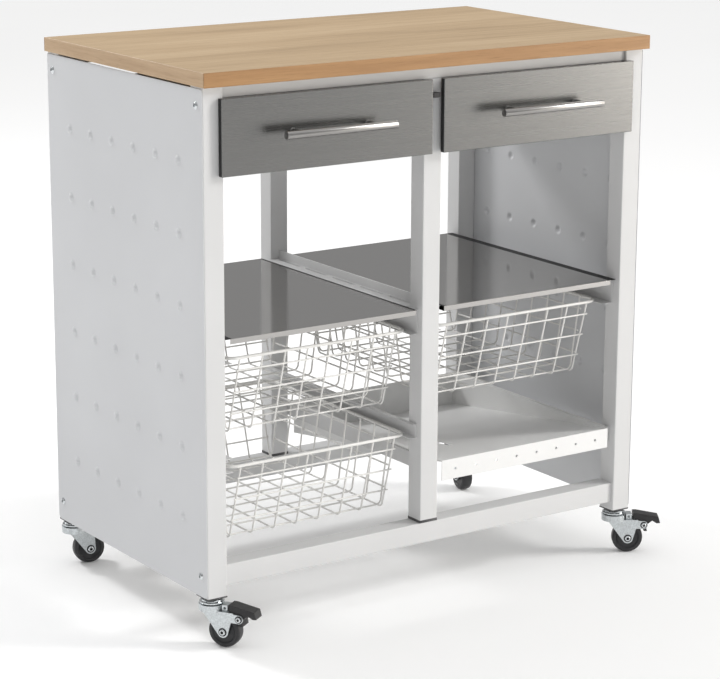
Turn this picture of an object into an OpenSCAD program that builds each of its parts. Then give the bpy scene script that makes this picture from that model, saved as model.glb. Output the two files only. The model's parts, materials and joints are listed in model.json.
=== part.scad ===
// Kitchen island cart: wooden worktop on a steel frame, two drawers, two shelves,
// three wire baskets, a sloped bottle tray and four swivel casters, two with brakes.
// Front faces -Y, left is -X, and the floor is Z = 0. The origin is on the floor, at the middle
// of the cart's overall width and depth with the brake pedals and handles counted in.

/* [Worktop] */
// Width of the worktop, left to right
cart_w = 800; // [780:1:830]
// Depth of the worktop, front to back
cart_d = 476; // [470:1:490]
// Height of the worktop above the floor
cart_h = 842; // [835:1:860]
// Thickness of the worktop
top_t = 21; // [18:1:25]

/* [Frame] */
// Width of a square corner post
post_w = 33; // [30:1:36]
// Width of a square centre post and height of a bottom rail
mid_w = 32; // [28:1:34]
// Wall thickness of the square tubes
tube_t = 1.5; // [1:0.5:2.5]
// Thickness of the folded sheet steel
sheet_t = 1.2; // [1:0.1:1.5]
// Height of the top rails
top_rail_h = 18; // [15:1:20]
// Height of the posts' lower ends above the floor
post_z = 75.5; // [75.5:0.5:78]
// How far the side panels stop short of the worktop
panel_gap = 3; // [1:1:6]

/* [Drawers] */
// Height of a drawer front
front_h = 110; // [100:1:112]
// Thickness of a drawer front
front_t = 9; // [8:0.5:9]
// Depth of a drawer box behind its front
box_d = 420; // [380:5:425]
// Length of a bar handle
bar_len = 188; // [160:2:220]
// Diameter of a bar handle
bar_d = 12; // [10:1:14]
// Distance between a handle's two feet
bar_pitch = 128; // [96:32:128]

/* [Shelves and baskets] */
// Height of the shelves above the floor
shelf_z = 457; // [450:1:470]
// Height of the upper baskets' rims
upper_rim_z = 421; // [418:1:421]
// Height of the lower basket's rim
lower_rim_z = 258.5; // [250:0.5:262]
// Width of a basket over its rim
basket_w = 320; // [312:1:322]
// Depth of a basket over its rim
basket_d = 395; // [360:5:395]
// Height of a basket from rim to floor
basket_h = 121; // [100:1:121]
// Wall thickness of a basket
basket_wall = 3; // [2.5:0.5:3.5]
// Thickness of a basket's rim
rim_d = 5; // [4:0.5:5.5]
// Slope of the bottle tray's floor, in degrees
tray_slope = 7.4; // [4:0.1:8]

/* [Casters] */
// Diameter of a caster wheel
wheel_d = 50; // [48:1:50]
// Width of a caster wheel
wheel_w = 19; // [16:1:19]
// How far a wheel trails behind its swivel axis
trail = 22.5; // [20:0.5:24]
// Direction in which the front left caster trails, in degrees from +X
turn_fl = 304; // [0:1:359]
// Direction in which the front right caster trails
turn_fr = 327; // [0:1:359]
// Direction in which the rear left caster trails
turn_rl = 349; // [0:1:359]
// Direction in which the rear right caster trails
turn_rr = 258; // [0:1:359]

/* [Hidden] */
$fn = 48;

// colours
white = [0.90, 0.90, 0.89];
oak = [0.76, 0.58, 0.38];
steel = [0.55, 0.55, 0.54];
zinc = [0.72, 0.76, 0.76];
black = [0.10, 0.10, 0.11];
grey = [0.28, 0.28, 0.29];

// gaps between moving pieces
slip = 0.4;
fit = 0.05;

// frame planes
side_gap = 3;
panel_x = cart_w / 2 - side_gap;
post_out = panel_x - sheet_t;
post_in = post_out - post_w;
post_front = 12 - cart_d / 2;
post_back = cart_d / 2 - 3;
post_top = cart_h - top_t;
rail_front = post_front + 5;
rail_back = post_back - mid_w;
rail_top_z = post_top - top_rail_h;
rail_low_z = 89;
rail_deck_z = rail_low_z + mid_w;
cap_h = 4.5;
screw_r = 2;
screw_bite = 12;
hole_play = 0.3;
neck_r = 2.4;
bay_x = (post_in + mid_w / 2) / 2;
bay_w = post_in - mid_w / 2;
panel_y = (post_front + post_back) / 2;
panel_top = post_top - panel_gap;

// side panel screws and dimples
screw_low_z = 107;
screw_drop = 48;
dimple_n = 6;
dimple_pitch_y = 65;
dimple_pitch_z = 105;
dimple_z = 185.5;
dimple_r = 7;
dimple_h = 2.4;
dimple_ball = (pow(dimple_r, 2) + pow(dimple_h, 2)) / (2 * dimple_h);

// shelves and their supports
shelf_in = 26;
shelf_out = 350;
shelf_t = 1;
shelf_front = rail_front + 1.5;
shelf_depth = 439;
lip_h = 8;
divider_h = 15;
slot_n = 5;
runner_len = 425;
runner_y = post_front + 16;
side_flange = 21.5;
mid_flange = 12.5;
shelf_flange = 20;
low_runner_h = 22;

// bottle tray
tray_in = 25;
tray_out = 353;
tray_z = 214;
tray_len = 420;
tray_lip = 32;
tray_hole_n = 8;
tray_hole_pitch = 39.5;

// drawers
front_w = 361;
front_x = 190.5;
front_back = post_front - slip;
front_face = front_back - front_t;
front_z = 694;
box_w = 320;
box_h = 78;
box_z = 704;
track_z = 736;
track_h = 22;
bar_z = 750;
bar_y = front_face - 31;
foot_d = 8;

// baskets
basket_x = 184.5;
basket_y = 38 - cart_d / 2;
lean_front = 26;
lean_side = 16;

// casters
caster_x = post_out - post_w / 2;
caster_y = [post_front + post_w / 2, post_back - post_w / 2];
axle_z = wheel_d / 2;
axle_r = 3;
fork_in = 11;
fork_t = 2;
fork_top = 56;
race_r = 18.5;
pivot_x = trail + 25.5;
pivot_z = 47.4;
pedal_tip = trail + 52.5;
pedal_half = fork_in - slip;
pin_r = 2.5;
fork_back = 9;

// frame origin, from the furthest points of the pedals, the handles and the worktop
function turned(p, a) = [p[0] * cos(a) - p[1] * sin(a), p[0] * sin(a) + p[1] * cos(a)];
function tips(sx, a) =
    [for (y = [-pedal_half, pedal_half]) [sx * caster_x, caster_y[0]] + turned([pedal_tip, y], a)];
tip_points = concat(tips(-1, turn_fl), tips(1, turn_fr));
reach_x = [for (p = tip_points) p[0]];
reach_y = [for (p = tip_points) p[1]];
mid_x = (min(-cart_w / 2, min(reach_x)) + max(cart_w / 2, max(reach_x))) / 2;
mid_y = (min(bar_y - bar_d / 2, min(reach_y)) + max(cart_d / 2, max(reach_y))) / 2;
frame_shift = [-mid_x, -mid_y, 0];

// square tube standing on z
module tube(w, d, h) {
    difference() {
        cube([w, d, h]);
        translate([tube_t, tube_t, -1]) cube([w - 2 * tube_t, d - 2 * tube_t, h + 2]);
    }
}

// square tube lying along x
module beam(len, d, h) {
    difference() {
        translate([-len / 2, 0, 0]) cube([len, d, h]);
        translate([-len / 2 - 1, tube_t, tube_t]) cube([len + 2, d - 2 * tube_t, h - 2 * tube_t]);
    }
}

// turns a piece made for the right-hand side over to side s, -1 left or 1 right
module on_side(s) {
    at_frame()
        mirror([s < 0 ? 1 : 0, 0, 0]) children();
}

// moves a piece from the worktop's centre line to the frame's own origin
module at_frame() {
    translate(frame_shift) children();
}

module worktop() {
    color(oak)
        at_frame()
            difference() {
                translate([-cart_w / 2, -cart_d / 2, post_top]) cube([cart_w, cart_d, top_t]);
                at_top_screws() cylinder(h = top_rail_h + screw_bite, r = screw_r);
            }
}

// long screws up through the top rails into the worktop
module worktop_screws() {
    head_h = 2.5;
    color(zinc)
        at_frame()
            at_top_screws() {
                cylinder(h = top_rail_h + screw_bite, r = screw_r);
                translate([0, 0, -head_h]) cylinder(h = head_h, r = 4.5);
            }
}

module at_top_screws() {
    for (x = [-300, -100, 100, 300], y = [rail_front, rail_back])
        translate([x, y + mid_w / 2, rail_top_z]) children();
}

module corner_post(sx, y) {
    color(white)
        on_side(sx)
            difference() {
                translate([post_in, y, post_z]) tube(post_w, post_w, post_top - post_z);
                at_screws(post_out - 5) cylinder(h = 8, r = neck_r + 0.2);
            }
}

module center_post(y) {
    color(white)
        at_frame()
            translate([-mid_w / 2, y, rail_deck_z + cap_h])
                tube(mid_w, mid_w, rail_top_z - rail_deck_z - cap_h);
}

module center_post_caps() {
    color(grey)
        at_frame()
            for (y = [rail_front, rail_back])
                translate([-mid_w / 2, y, rail_deck_z]) {
                    cube([mid_w, mid_w, cap_h]);
                    translate([tube_t, tube_t, 0])
                        cube([mid_w - 2 * tube_t, mid_w - 2 * tube_t, cap_h + 14]);
                }
}

// plugs that close the corner posts and hold the casters' stems
module post_end_plugs() {
    core = post_w - 2 * tube_t;
    color(grey)
        at_frame()
            for (sx = [-1, 1], y = caster_y)
                translate([sx * caster_x, y, post_z])
                    difference() {
                        union() {
                            translate([-post_w / 2, -post_w / 2, -2.5]) cube([post_w, post_w, 2.5]);
                            translate([-core / 2, -core / 2, 0]) cube([core, core, 28]);
                        }
                        translate([0, 0, -3]) cylinder(h = 40, r = 5);
                    }
}

module top_rail(y) {
    color(white)
        at_frame()
            difference() {
                translate([0, y, rail_top_z]) beam(2 * post_in, mid_w, top_rail_h);
                at_top_screws() translate([0, 0, -1]) cylinder(h = top_rail_h + 2, r = screw_r + 0.1);
            }
}

module bottom_rail(y) {
    color(white)
        at_frame()
            translate([0, y, rail_low_z]) beam(2 * post_in, mid_w, mid_w);
}

// steel side panel with its rows of pressed dimples, drawn for the right-hand side
module side_panel() {
    corner = 8;
    h = panel_top - post_z;
    d = post_back - post_front;
    color(white)
        difference() {
            union() {
                translate([post_out, post_front, post_z])
                    rotate([90, 0, 90])
                        linear_extrude(sheet_t)
                            difference() {
                                square([d, h]);
                                for (y = [0, d]) corner_cut(y, corner, y > 0 ? -1 : 1);
                            }
                at_dimples() cap_of_ball(dimple_ball, dimple_h);
            }
            at_dimples()
                translate([0, 0, -sheet_t]) cap_of_ball(dimple_ball, dimple_h);
            at_screws(post_out - 1) cylinder(h = 4, r = neck_r + 0.2);
        }
}

module corner_cut(y, r, s) {
    translate([y, 0])
        difference() {
            translate([min(0, s * r), 0]) square([r, r]);
            translate([s * r, r]) circle(r = r);
        }
}

module at_dimples() {
    for (i = [0 : dimple_n - 1], j = [0 : dimple_n - 1])
        translate([panel_x, panel_y + (i - (dimple_n - 1) / 2) * dimple_pitch_y,
                   dimple_z + j * dimple_pitch_z])
            rotate([0, 90, 0]) children();
}

// dome of height h cut from a ball of radius r, standing on z = 0
module cap_of_ball(r, h) {
    intersection() {
        translate([0, 0, h - r]) sphere(r = r);
        cylinder(h = h + 1, r = dimple_r + 1);
    }
}

module at_screws(x) {
    for (y = caster_y, z = [screw_low_z, cart_h - screw_drop])
        translate([x, y, z]) rotate([0, 90, 0]) children();
}

module panel_screws() {
    key_r = 1.6;
    color(zinc)
        for (s = [-1, 1])
            on_side(s)
                at_screws(post_out) {
                    translate([0, 0, -screw_bite]) cylinder(h = screw_bite, r = neck_r);
                    difference() {
                        cap_on_panel();
                        translate([0, 0, sheet_t + 1]) cylinder(h = 4, r = key_r, $fn = 6);
                    }
                }
}

// low domed screw head with its neck in the panel
module cap_on_panel() {
    head_r = 5.5;
    head_h = 2.8;
    ball = (pow(head_r, 2) + pow(head_h, 2)) / (2 * head_h);
    cylinder(h = sheet_t, r = neck_r);
    translate([0, 0, sheet_t])
        intersection() {
            translate([0, 0, head_h - ball]) sphere(r = ball);
            cylinder(h = head_h, r = head_r);
        }
}

// sheet shelf with its edges turned down at the front and back
module shelf() {
    w = shelf_out - shelf_in;
    color(steel)
        translate([shelf_in, shelf_front, shelf_z - lip_h])
            difference() {
                cube([w, shelf_depth, lip_h]);
                translate([-1, shelf_t, -1])
                    cube([w + 2, shelf_depth - 2 * shelf_t, lip_h - shelf_t + 1]);
            }
}

// slotted divider between the shelves, an upside-down T
module shelf_divider() {
    flange = 2 * shelf_in - 4;
    y0 = rail_front + mid_w;
    len = rail_back - y0;
    pitch = len / slot_n;
    color(white)
        at_frame()
            difference() {
                translate([0, y0, shelf_z - 1]) {
                    translate([-flange / 2, 0, 0]) cube([flange, len, sheet_t]);
                    translate([-sheet_t, 0, 0]) cube([2 * sheet_t, len, divider_h]);
                }
                for (i = [0 : slot_n - 1], s = [-1, 1])
                    translate([s * 5 - 2, y0 + (i + 0.1) * pitch, shelf_z - 2])
                        cube([4, 0.8 * pitch, 4]);
            }
}

// folded channel on the right of a bay: shelf ledge on top, basket ledge below
module runner(x, y, len, low_z, high_z, top_w, low_w) {
    color(white)
        translate([x, y, low_z]) {
            translate([-sheet_t, 0, 0]) cube([sheet_t, len, high_z - low_z]);
            translate([-low_w, 0, 0]) cube([low_w, len, sheet_t]);
            translate([-top_w, 0, high_z - low_z - sheet_t]) cube([top_w, len, sheet_t]);
        }
}

module upper_runner(is_side) {
    x = is_side ? post_in : mid_w / 2;
    low = upper_rim_z - rim_d / 2 - slip - sheet_t;
    if (is_side)
        runner(x, runner_y, runner_len, low, shelf_z - shelf_t, shelf_flange, side_flange);
    else
        mirror([1, 0, 0])
            runner(-x, runner_y, runner_len, low, shelf_z - shelf_t, shelf_flange - 2, mid_flange);
}

module lower_runner(is_side) {
    x = is_side ? post_in : mid_w / 2;
    low = lower_rim_z - rim_d / 2 - slip - sheet_t;
    if (is_side)
        runner(x, runner_y, runner_len, low, low + low_runner_h, side_flange, side_flange);
    else
        mirror([1, 0, 0])
            runner(-x, runner_y, runner_len, low, low + low_runner_h, 8, mid_flange);
}

module tray_brackets() {
    ledge = tray_z - sheet_t;
    drop = 24;
    color(white) at_frame() {
        translate([mid_w / 2, runner_y, ledge - drop]) {
            cube([sheet_t, runner_len, drop]);
            translate([0, 0, drop - sheet_t]) cube([tray_in - mid_w / 2 - 1, runner_len, sheet_t]);
        }
        translate([post_in - sheet_t, runner_y, ledge - drop]) {
            cube([sheet_t, runner_len, drop]);
            translate([tray_out - post_in + sheet_t + 1, 0, drop - sheet_t])
                cube([post_in - tray_out - 1, runner_len, sheet_t]);
        }
    }
}

// bottle tray in section along y: lip, sloped floor and back wall
function tray_side() =
    let (drop = tray_len * tan(tray_slope))
    [[0, tray_z], [tray_len, tray_z], [tray_len, tray_z - drop - sheet_t - 1],
     [0, tray_z - sheet_t - 1]];

module bottle_tray() {
    w = tray_out - tray_in;
    drop = tray_len * tan(tray_slope);
    flange = 7;
    color(white)
        at_frame()
            difference() {
                union() {
                    difference() {
                        translate([tray_in, rail_front + 1, 0]) in_yz(w) polygon(tray_side());
                        translate([tray_in + sheet_t, rail_front + 1 + sheet_t, 0])
                            in_yz(w - 2 * sheet_t)
                                polygon([[0, tray_z + 1], [tray_len - 2 * sheet_t, tray_z + 1],
                                         [tray_len - 2 * sheet_t, tray_z - drop - 1], [0, tray_z - 1]]);
                    }
                    translate([tray_in, rail_front + 1, tray_z - tray_lip])
                        cube([w, sheet_t, tray_lip]);
                    for (x = [tray_in - flange, tray_out - sheet_t])
                        translate([x, runner_y, tray_z - sheet_t])
                            cube([flange + sheet_t, tray_len - 12, sheet_t]);
                }
                for (i = [0 : tray_hole_n - 1])
                    translate([(tray_in + tray_out) / 2 + (i - (tray_hole_n - 1) / 2) * tray_hole_pitch,
                               rail_front, tray_z - tray_lip / 2])
                        rotate([-90, 0, 0]) cylinder(h = 4, r = 2.2);
                translate([112, -118, tray_z - 40]) cube([9, 36, 40]);
            }
}

// extrudes an outline drawn in y and z along x
module in_yz(len) {
    rotate([90, 0, 90]) linear_extrude(len) children();
}

// small block on the centre post that keeps the drawer fronts apart
module drawer_spacer() {
    w = 12;
    d = 10;
    color(black)
        at_frame()
            translate([-w / 2, rail_front - d, cart_h - 66]) cube([w, d, 7]);
}

// fixed channel tracks on both sides of a drawer's bay
module drawer_tracks() {
    w = 10;
    color(zinc)
        for (s = [-1, 1])
            translate([bay_x + s * bay_w / 2, rail_front + 2, track_z])
                mirror([s > 0 ? 1 : 0, 0, 0]) {
                    cube([sheet_t, runner_len, track_h]);
                    for (z = [0, track_h - sheet_t])
                        translate([0, 0, z]) cube([w, runner_len, sheet_t]);
                }
}

// bars on the drawer box that run inside the tracks
module drawer_slides() {
    w = bay_w / 2 - box_w / 2 - sheet_t - slip;
    h = track_h - 2 * sheet_t - 2 * slip;
    color(zinc)
        for (s = [-1, 1])
            translate([bay_x + s * (box_w + w) / 2, rail_front + 2, track_z + sheet_t + slip])
                difference() {
                    translate([-w / 2, 0, 0]) cube([w, box_d - 10, h]);
                    translate([-w / 2 + (s > 0 ? 1.5 : -1.5), -1, 2]) cube([w, box_d, h - 4]);
                }
}

module drawer_front() {
    color(steel)
        difference() {
            translate([front_x - front_w / 2, front_face, front_z]) cube([front_w, front_t, front_h]);
            at_feet(front_face - 1) cylinder(h = front_t + 2, r = screw_r + hole_play);
        }
}

// open box of five sheets: base, two sides, and a front and a back between the sides
module drawer_box() {
    wall_z = sheet_t + fit;
    wall_h = box_h - wall_z;
    between = box_w - 2 * (sheet_t + fit);
    color(white)
        difference() {
            translate([bay_x, front_back, box_z]) {
                translate([-box_w / 2, 0, 0]) cube([box_w, box_d, sheet_t]);
                for (x = [-box_w / 2, box_w / 2 - sheet_t])
                    translate([x, 0, wall_z]) cube([sheet_t, box_d, wall_h]);
                for (y = [0, box_d - sheet_t])
                    translate([-between / 2, y, wall_z]) cube([between, sheet_t, wall_h]);
            }
            at_feet(front_back - 1) cylinder(h = sheet_t + 2, r = screw_r + hole_play);
        }
}

// bar handle on two feet
module drawer_handle() {
    color(steel)
        difference() {
            union() {
                translate([front_x - bar_len / 2, bar_y, bar_z])
                    rotate([0, 90, 0]) cylinder(h = bar_len, d = bar_d);
                at_feet(bar_y) cylinder(h = front_face - bar_y, d = foot_d);
            }
            at_feet(front_face - screw_bite) cylinder(h = screw_bite + 1, r = screw_r);
        }
}

module handle_screws() {
    len = screw_bite + front_t + sheet_t;
    color(zinc)
        at_feet(front_face - screw_bite) {
            cylinder(h = len, r = screw_r);
            translate([0, 0, len]) cylinder(h = 2.5, r = 4);
        }
}

module at_feet(y) {
    for (s = [-1, 1])
        translate([front_x + s * bar_pitch / 2, y, bar_z])
            rotate([-90, 0, 0]) children();
}

// basket as a thin open tub under a thicker rim, with its front rim on y = 0, centred on x = 0
module basket() {
    w = basket_w - 2 * rim_d;
    d = basket_d - 2 * rim_d;
    wall = basket_wall;
    color(white)
        difference() {
            union() {
                translate([-basket_w / 2, 0, -rim_d / 2]) cube([basket_w, basket_d, rim_d]);
                translate([0, basket_d / 2, 0]) taper(w, d, basket_h);
            }
            translate([0, basket_d / 2, 0]) taper(w - 2 * wall, d - 2 * wall, basket_h - wall);
            translate([wall - w / 2, basket_d / 2 - d / 2 + wall, 0])
                cube([w - 2 * wall, d - 2 * wall, rim_d]);
        }
}

// block that narrows downward with the lean of the basket's sides
module taper(w, d, h) {
    low_w = w - 2 * lean_side * h / basket_h;
    low_d = d - 2 * lean_front * h / basket_h;
    hull() {
        translate([-w / 2, -d / 2, 0]) cube([w, d, rim_d / 2]);
        translate([-low_w / 2, -low_d / 2, -h]) cube([low_w, low_d, 0.01]);
    }
}

module basket_at(s, z) {
    at_frame()
        translate([s * basket_x, basket_y, z]) basket();
}

// caster top: threaded stem in the post's plug and the fixed upper race
module caster_mounts() {
    color(zinc)
        at_frame()
            for (sx = [-1, 1], y = caster_y)
                translate([sx * caster_x, y, 0]) {
                    translate([0, 0, 64.5])
                        rotate_extrude()
                            polygon([[0, 0], [race_r, 0], [race_r, 5], [race_r - 5, 8.5], [0, 8.5]]);
                    translate([0, 0, 73]) cylinder(h = 24, r = 5);
                }
}

// fork plate outline in x and z, with an arm for the brake's pivot where there is one
module fork_plate(braked) {
    top_len = braked ? 48 : 38;
    boss_r = 8.5;
    arm_r = 6.5;
    arm_w = 10;
    arm_h = 14;
    difference() {
        union() {
            hull() {
                translate([trail, axle_z]) circle(r = boss_r, $fn = 32);
                translate([-fork_back, fork_top - 3]) square([top_len, 3]);
            }
            if (braked)
                hull() {
                    translate([pivot_x, pivot_z]) circle(r = arm_r, $fn = 32);
                    translate([arm_w, fork_top - arm_h]) square([arm_w, arm_h]);
                }
        }
        translate([trail, axle_z]) circle(r = axle_r + fit);
        if (braked) translate([pivot_x, pivot_z]) circle(r = pin_r + fit);
    }
}

// swivelling fork, with its lower race, made trailing along +x
module fork(braked) {
    top_len = braked ? 39 : 38;
    lower_race_h = 10;
    color(zinc) {
        for (s = [-1, 1])
            translate([0, s * (fork_in + fork_t / 2) + fork_t / 2, 0])
                rotate([90, 0, 0]) linear_extrude(fork_t) fork_plate(braked);
        translate([-fork_back, -fork_in - fork_t, fork_top - fork_t])
            cube([top_len, 2 * (fork_in + fork_t), fork_t]);
        translate([0, 0, fork_top - fork_t]) cylinder(h = lower_race_h, r = race_r + 1);
        if (braked) locking_lug();
    }
}

// drilled lug beside the race
module locking_lug() {
    w = 16;
    len = 9;
    h = 10;
    difference() {
        translate([race_r + 1, -w / 2, fork_top - 1]) cube([len, w, h]);
        translate([race_r + 1 + len / 2, -w, fork_top - 0.5 + h / 2])
            rotate([-90, 0, 0]) cylinder(h = 2 * w, r = 2);
    }
}

// axle bolt with its head and nut outside the fork
module axle() {
    reach = fork_in + fork_t + fit;
    head_h = 2.5;
    head_r = 4.8;
    color(zinc)
        translate([trail, 0, axle_z])
            rotate([90, 0, 0]) {
                translate([0, 0, -reach]) cylinder(h = 2 * reach, r = axle_r);
                for (z = [-reach - head_h, reach])
                    translate([0, 0, z]) cylinder(h = head_h, r = head_r);
            }
}

// wheel with a raised hub, turning on the axle
module wheel() {
    hub = fork_in - slip;
    half = wheel_w / 2;
    r = wheel_d / 2;
    color(black)
        translate([trail, 0, axle_z])
            rotate([90, 0, 0])
                rotate_extrude($fn = 64)
                    polygon([[axle_r + fit, -hub], [7, -hub], [7, -half + 2], [17, -half + 2],
                             [19, -half], [r - 2.5, -half], [r, -half + 3], [r, half - 3],
                             [r - 2.5, half], [19, half], [17, half - 2], [7, half - 2],
                             [7, hub], [axle_r + fit, hub]]);
}

// brake pedal turning on its own pin in the fork's arm
module brake() {
    color(black)
        rotate([90, 0, 0]) {
            translate([0, 0, -pedal_half])
                linear_extrude(2 * pedal_half) {
                    translate([pivot_x, pivot_z]) circle(r = 5.5);
                    polygon([[pivot_x - 5, pivot_z], [31, 59], [31, 67], [37, 67],
                             [pedal_tip - 3, 60.5], [pedal_tip, 50], [pedal_tip - 6, 49.5],
                             [pedal_tip - 13, 54], [pivot_x + 5.5, pivot_z]]);
                    polygon([[pivot_x - 3, pivot_z - 4], [pivot_x + 4, pivot_z - 3],
                             [pivot_x + 6, pivot_z - 11], [pivot_x + 1, pivot_z - 11]]);
                }
            translate([pivot_x, pivot_z, -fork_in - fork_t - 2])
                cylinder(h = 2 * (fork_in + fork_t + 2), r = pin_r);
        }
}

// puts a caster piece under its post, trailing in its own direction
module at_caster(sx, row, turn) {
    at_frame()
        translate([sx * caster_x, caster_y[row], 0])
            rotate([0, 0, turn]) children();
}

// each piece in its place
module front_left_post() { corner_post(-1, post_front); }
module front_right_post() { corner_post(1, post_front); }
module rear_left_post() { corner_post(-1, post_back - post_w); }
module rear_right_post() { corner_post(1, post_back - post_w); }
module front_center_post() { center_post(rail_front); }
module rear_center_post() { center_post(rail_back); }
module top_front_rail() { top_rail(rail_front); }
module top_rear_rail() { top_rail(rail_back); }
module bottom_front_rail() { bottom_rail(rail_front); }
module bottom_rear_rail() { bottom_rail(rail_back); }
module left_side_panel() { on_side(-1) side_panel(); }
module right_side_panel() { on_side(1) side_panel(); }
module left_shelf() { on_side(-1) shelf(); }
module right_shelf() { on_side(1) shelf(); }
module upper_left_side_runner() { on_side(-1) upper_runner(true); }
module upper_left_center_runner() { on_side(-1) upper_runner(false); }
module upper_right_center_runner() { on_side(1) upper_runner(false); }
module upper_right_side_runner() { on_side(1) upper_runner(true); }
module lower_left_side_runner() { on_side(-1) lower_runner(true); }
module lower_left_center_runner() { on_side(-1) lower_runner(false); }
module left_drawer_tracks() { on_side(-1) drawer_tracks(); }
module right_drawer_tracks() { on_side(1) drawer_tracks(); }
module left_drawer_front() { on_side(-1) drawer_front(); }
module left_drawer_box() { on_side(-1) drawer_box(); }
module left_drawer_slides() { on_side(-1) drawer_slides(); }
module left_drawer_handle() { on_side(-1) drawer_handle(); }
module left_handle_screws() { on_side(-1) handle_screws(); }
module right_drawer_front() { on_side(1) drawer_front(); }
module right_drawer_box() { on_side(1) drawer_box(); }
module right_drawer_slides() { on_side(1) drawer_slides(); }
module right_drawer_handle() { on_side(1) drawer_handle(); }
module right_handle_screws() { on_side(1) handle_screws(); }
module upper_left_basket() { basket_at(-1, upper_rim_z); }
module upper_right_basket() { basket_at(1, upper_rim_z); }
module lower_left_basket() { basket_at(-1, lower_rim_z); }
module front_left_fork() { at_caster(-1, 0, turn_fl) fork(true); }
module front_right_fork() { at_caster(1, 0, turn_fr) fork(true); }
module rear_left_fork() { at_caster(-1, 1, turn_rl) fork(false); }
module rear_right_fork() { at_caster(1, 1, turn_rr) fork(false); }
module front_left_axle() { at_caster(-1, 0, turn_fl) axle(); }
module front_right_axle() { at_caster(1, 0, turn_fr) axle(); }
module rear_left_axle() { at_caster(-1, 1, turn_rl) axle(); }
module rear_right_axle() { at_caster(1, 1, turn_rr) axle(); }
module front_left_wheel() { at_caster(-1, 0, turn_fl) wheel(); }
module front_right_wheel() { at_caster(1, 0, turn_fr) wheel(); }
module rear_left_wheel() { at_caster(-1, 1, turn_rl) wheel(); }
module rear_right_wheel() { at_caster(1, 1, turn_rr) wheel(); }
module front_left_brake() { at_caster(-1, 0, turn_fl) brake(); }
module front_right_brake() { at_caster(1, 0, turn_fr) brake(); }

worktop();
worktop_screws();
front_left_post();
front_right_post();
rear_left_post();
rear_right_post();
front_center_post();
rear_center_post();
center_post_caps();
post_end_plugs();
top_front_rail();
top_rear_rail();
bottom_front_rail();
bottom_rear_rail();
left_side_panel();
right_side_panel();
panel_screws();
left_shelf();
right_shelf();
shelf_divider();
upper_left_side_runner();
upper_left_center_runner();
upper_right_center_runner();
upper_right_side_runner();
lower_left_side_runner();
lower_left_center_runner();
tray_brackets();
bottle_tray();
drawer_spacer();
left_drawer_tracks();
right_drawer_tracks();
left_drawer_front();
left_drawer_box();
left_drawer_slides();
left_drawer_handle();
left_handle_screws();
right_drawer_front();
right_drawer_box();
right_drawer_slides();
right_drawer_handle();
right_handle_screws();
upper_left_basket();
upper_right_basket();
lower_left_basket();
caster_mounts();
front_left_fork();
front_right_fork();
rear_left_fork();
rear_right_fork();
front_left_axle();
front_right_axle();
rear_left_axle();
rear_right_axle();
front_left_wheel();
front_right_wheel();
rear_left_wheel();
rear_right_wheel();
front_left_brake();
front_right_brake();
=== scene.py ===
import json
import math

import bmesh
import bpy
from mathutils import Matrix, Vector

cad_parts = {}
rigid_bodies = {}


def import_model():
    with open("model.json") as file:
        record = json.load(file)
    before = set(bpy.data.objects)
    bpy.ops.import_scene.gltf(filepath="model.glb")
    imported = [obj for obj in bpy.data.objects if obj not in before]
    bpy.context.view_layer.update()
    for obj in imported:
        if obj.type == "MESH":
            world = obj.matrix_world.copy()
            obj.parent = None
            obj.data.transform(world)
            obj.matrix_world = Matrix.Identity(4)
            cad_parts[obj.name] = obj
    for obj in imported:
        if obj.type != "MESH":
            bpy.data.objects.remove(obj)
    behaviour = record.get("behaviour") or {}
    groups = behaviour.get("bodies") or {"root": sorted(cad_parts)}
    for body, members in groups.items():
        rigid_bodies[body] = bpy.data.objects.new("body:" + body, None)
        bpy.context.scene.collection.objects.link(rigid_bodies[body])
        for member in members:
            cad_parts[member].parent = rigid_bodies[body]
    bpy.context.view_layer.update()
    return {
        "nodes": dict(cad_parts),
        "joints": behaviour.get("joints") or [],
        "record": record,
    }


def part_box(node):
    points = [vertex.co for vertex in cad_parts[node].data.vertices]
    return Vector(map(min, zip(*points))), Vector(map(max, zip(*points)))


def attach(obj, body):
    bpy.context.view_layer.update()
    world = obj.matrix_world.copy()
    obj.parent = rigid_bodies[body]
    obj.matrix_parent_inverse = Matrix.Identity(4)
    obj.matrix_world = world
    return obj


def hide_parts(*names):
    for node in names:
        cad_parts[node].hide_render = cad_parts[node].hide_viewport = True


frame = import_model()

scene = bpy.context.scene
nodes = frame["nodes"]
homeBody = {n: b for b, members in frame["record"]["behaviour"]["bodies"].items() for n in members}
print("frame loaded:", len(nodes), "nodes")


# ---- camera and lights

camera = {"place": (-2.1409, -3.1247, 1.3097), "heading": 34.226, "dip": 14.026, "roll": 0.24, "lens": 123.66}


def placeCamera():
    data = bpy.data.cameras.new("productCamera")
    data.lens, data.sensor_width = camera["lens"], 36
    obj = bpy.data.objects.new("productCamera", data)
    scene.collection.objects.link(obj)
    heading, dip, roll = (math.radians(camera[k]) for k in ("heading", "dip", "roll"))
    ahead = Vector((math.sin(heading) * math.cos(dip), math.cos(heading) * math.cos(dip), -math.sin(dip)))
    right = Vector((math.cos(heading), -math.sin(heading), 0))
    up = right.cross(ahead)
    side = right * math.cos(roll) + up * math.sin(roll)
    top = up * math.cos(roll) - right * math.sin(roll)
    turn = Matrix((side, top, -ahead)).transposed().to_4x4()
    obj.matrix_world = Matrix.Translation(camera["place"]) @ turn
    data.clip_start, data.clip_end = 0.05, 100
    scene.camera = obj


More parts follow.
